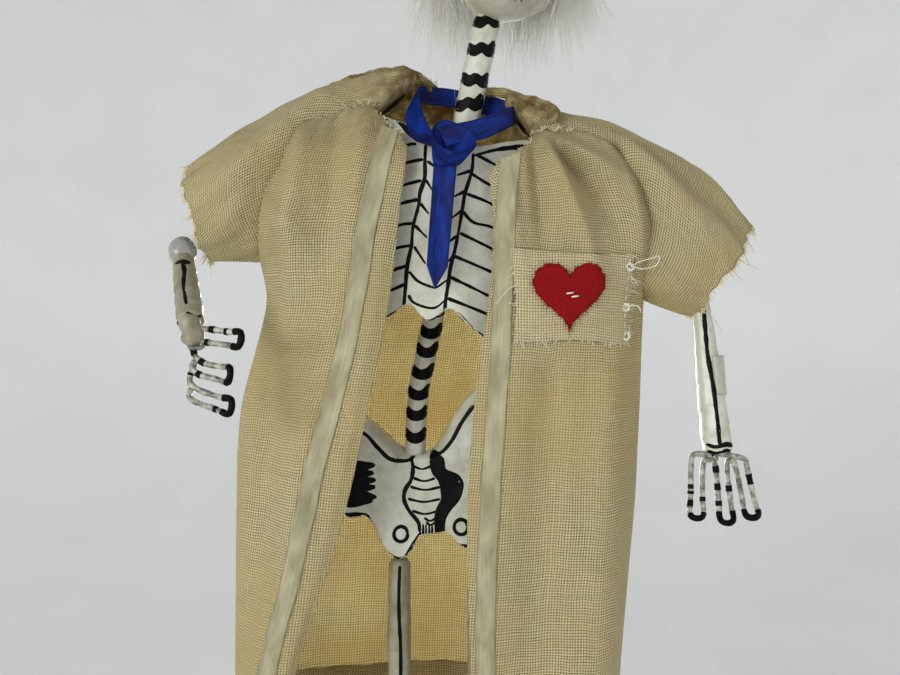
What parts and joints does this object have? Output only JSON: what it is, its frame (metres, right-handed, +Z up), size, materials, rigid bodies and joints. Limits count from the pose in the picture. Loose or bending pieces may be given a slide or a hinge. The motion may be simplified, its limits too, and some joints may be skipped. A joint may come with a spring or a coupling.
{
  "type": "papier-mache skeleton figurine",
  "caption": "Folk-art skeleton doctor in painted papier-mache on wire, with an open muslin coat, ribbon trim, a ribbon tie, fur hair, posable arms and a wooden stand.",
  "frame": {"origin": "middle of the board's underside", "axes": "+Z up, the figure faces -Y, its own left side at +X"},
  "size_m": [0.185, 0.0867, 0.3633],
  "materials": {
    "painted_paper": "brushed white paint with black lines, slightly glossy",
    "plain_paper": "matt pasted paper",
    "armature_wire": "plain drawn wire",
    "painted_wire": "white paint worn through, with black bands",
    "coat_cloth": "coarse plain-weave cotton",
    "cream_ribbon": "satin",
    "blue_ribbon": "satin",
    "red_felt": "fuzzy",
    "white_fur": "long soft pile",
    "board_wood": "oiled"
  },
  "bodies": {
    "figure": {"base_board": "board_wood", "foot_right": "painted_paper", "foot_left": "painted_paper", "shin_right": "painted_paper", "shin_left": "painted_paper", "knee_right": "painted_paper", "knee_left": "painted_paper", "thigh_right": "painted_paper", "thigh_left": "painted_paper", "leg_wire_right": "armature_wire", "leg_wire_left": "armature_wire", "coat_front_right": "coat_cloth", "coat_front_left": "coat_cloth", "trim_ribbon_right": "cream_ribbon", "trim_ribbon_left": "cream_ribbon", "pelvis": "painted_paper", "spine": "painted_paper", "spine_wire": "armature_wire", "ribcage": "painted_paper", "chest_block": "plain_paper", "shoulder_wire": "armature_wire", "coat_back": "coat_cloth", "pocket": "coat_cloth", "ribbon_heart": "red_felt", "tie_loop": "blue_ribbon", "tie_knot": "blue_ribbon"},
    "head": {"skull": "painted_paper", "hair_right": "white_fur", "hair_back": "white_fur", "hair_left": "white_fur"},
    "tie_end": {"tie_blade": "blue_ribbon"},
    "upper_arm_right_body": {"upper_arm_right": "painted_paper", "upper_arm_wire_right": "armature_wire", "elbow_right": "painted_paper", "sleeve_right": "coat_cloth"},
    "forearm_right_body": {"forearm_right": "painted_paper", "forearm_wire_right": "painted_wire"},
    "hand_right_body": {"hand_wire_right": "painted_wire"},
    "upper_arm_left_body": {"upper_arm_left": "painted_paper", "upper_arm_wire_left": "armature_wire", "elbow_left": "painted_paper", "sleeve_left": "coat_cloth"},
    "forearm_left_body": {"forearm_left": "painted_paper", "forearm_wire_left": "painted_wire"},
    "hand_left_body": {"hand_wire_left": "painted_wire"}
  },
  "joints": [
    {"name": "neck_turn", "type": "hinge", "parent": "figure", "child": "head", "pos_m": [0.0167, 0.002, 0.318], "axis": [0.2253, 0, 0.9743], "range_deg": [-30, 30]},
    {"name": "tie_swing", "type": "hinge", "parent": "figure", "child": "tie_end", "pos_m": [0.005, -0.0243, 0.27], "axis": [1, 0, 0], "range_deg": [-60, 8]},
    {"name": "shoulder_right", "type": "hinge", "parent": "figure", "child": "upper_arm_right_body", "pos_m": [-0.036, 0.002, 0.275], "axis": [1, 0, 0], "range_deg": [-60, 12]},
    {"name": "elbow_right", "type": "hinge", "parent": "upper_arm_right_body", "child": "forearm_right_body", "pos_m": [-0.0775, -0.008, 0.247], "axis": [-0.2994, -0.6672, 0.6821], "range_deg": [-50, 8]},
    {"name": "wrist_right", "type": "hinge", "parent": "forearm_right_body", "child": "hand_right_body", "pos_m": [-0.0654, -0.0392, 0.2172], "axis": [-0.1191, 0, -0.9929], "range_deg": [-25, 25]},
    {"name": "shoulder_left", "type": "hinge", "parent": "figure", "child": "upper_arm_left_body", "pos_m": [0.04, 0.002, 0.273], "axis": [1, 0, 0], "range_deg": [-60, 15]},
    {"name": "elbow_left", "type": "hinge", "parent": "upper_arm_left_body", "child": "forearm_left_body", "pos_m": [0.084, -0.006, 0.237], "axis": [1, 0, 0], "range_deg": [-35, 8]},
    {"name": "wrist_left", "type": "hinge", "parent": "forearm_left_body", "child": "hand_left_body", "pos_m": [0.0882, -0.0094, 0.1839], "axis": [0.9988, 0, -0.0499], "range_deg": [-40, 30]}
  ]
}
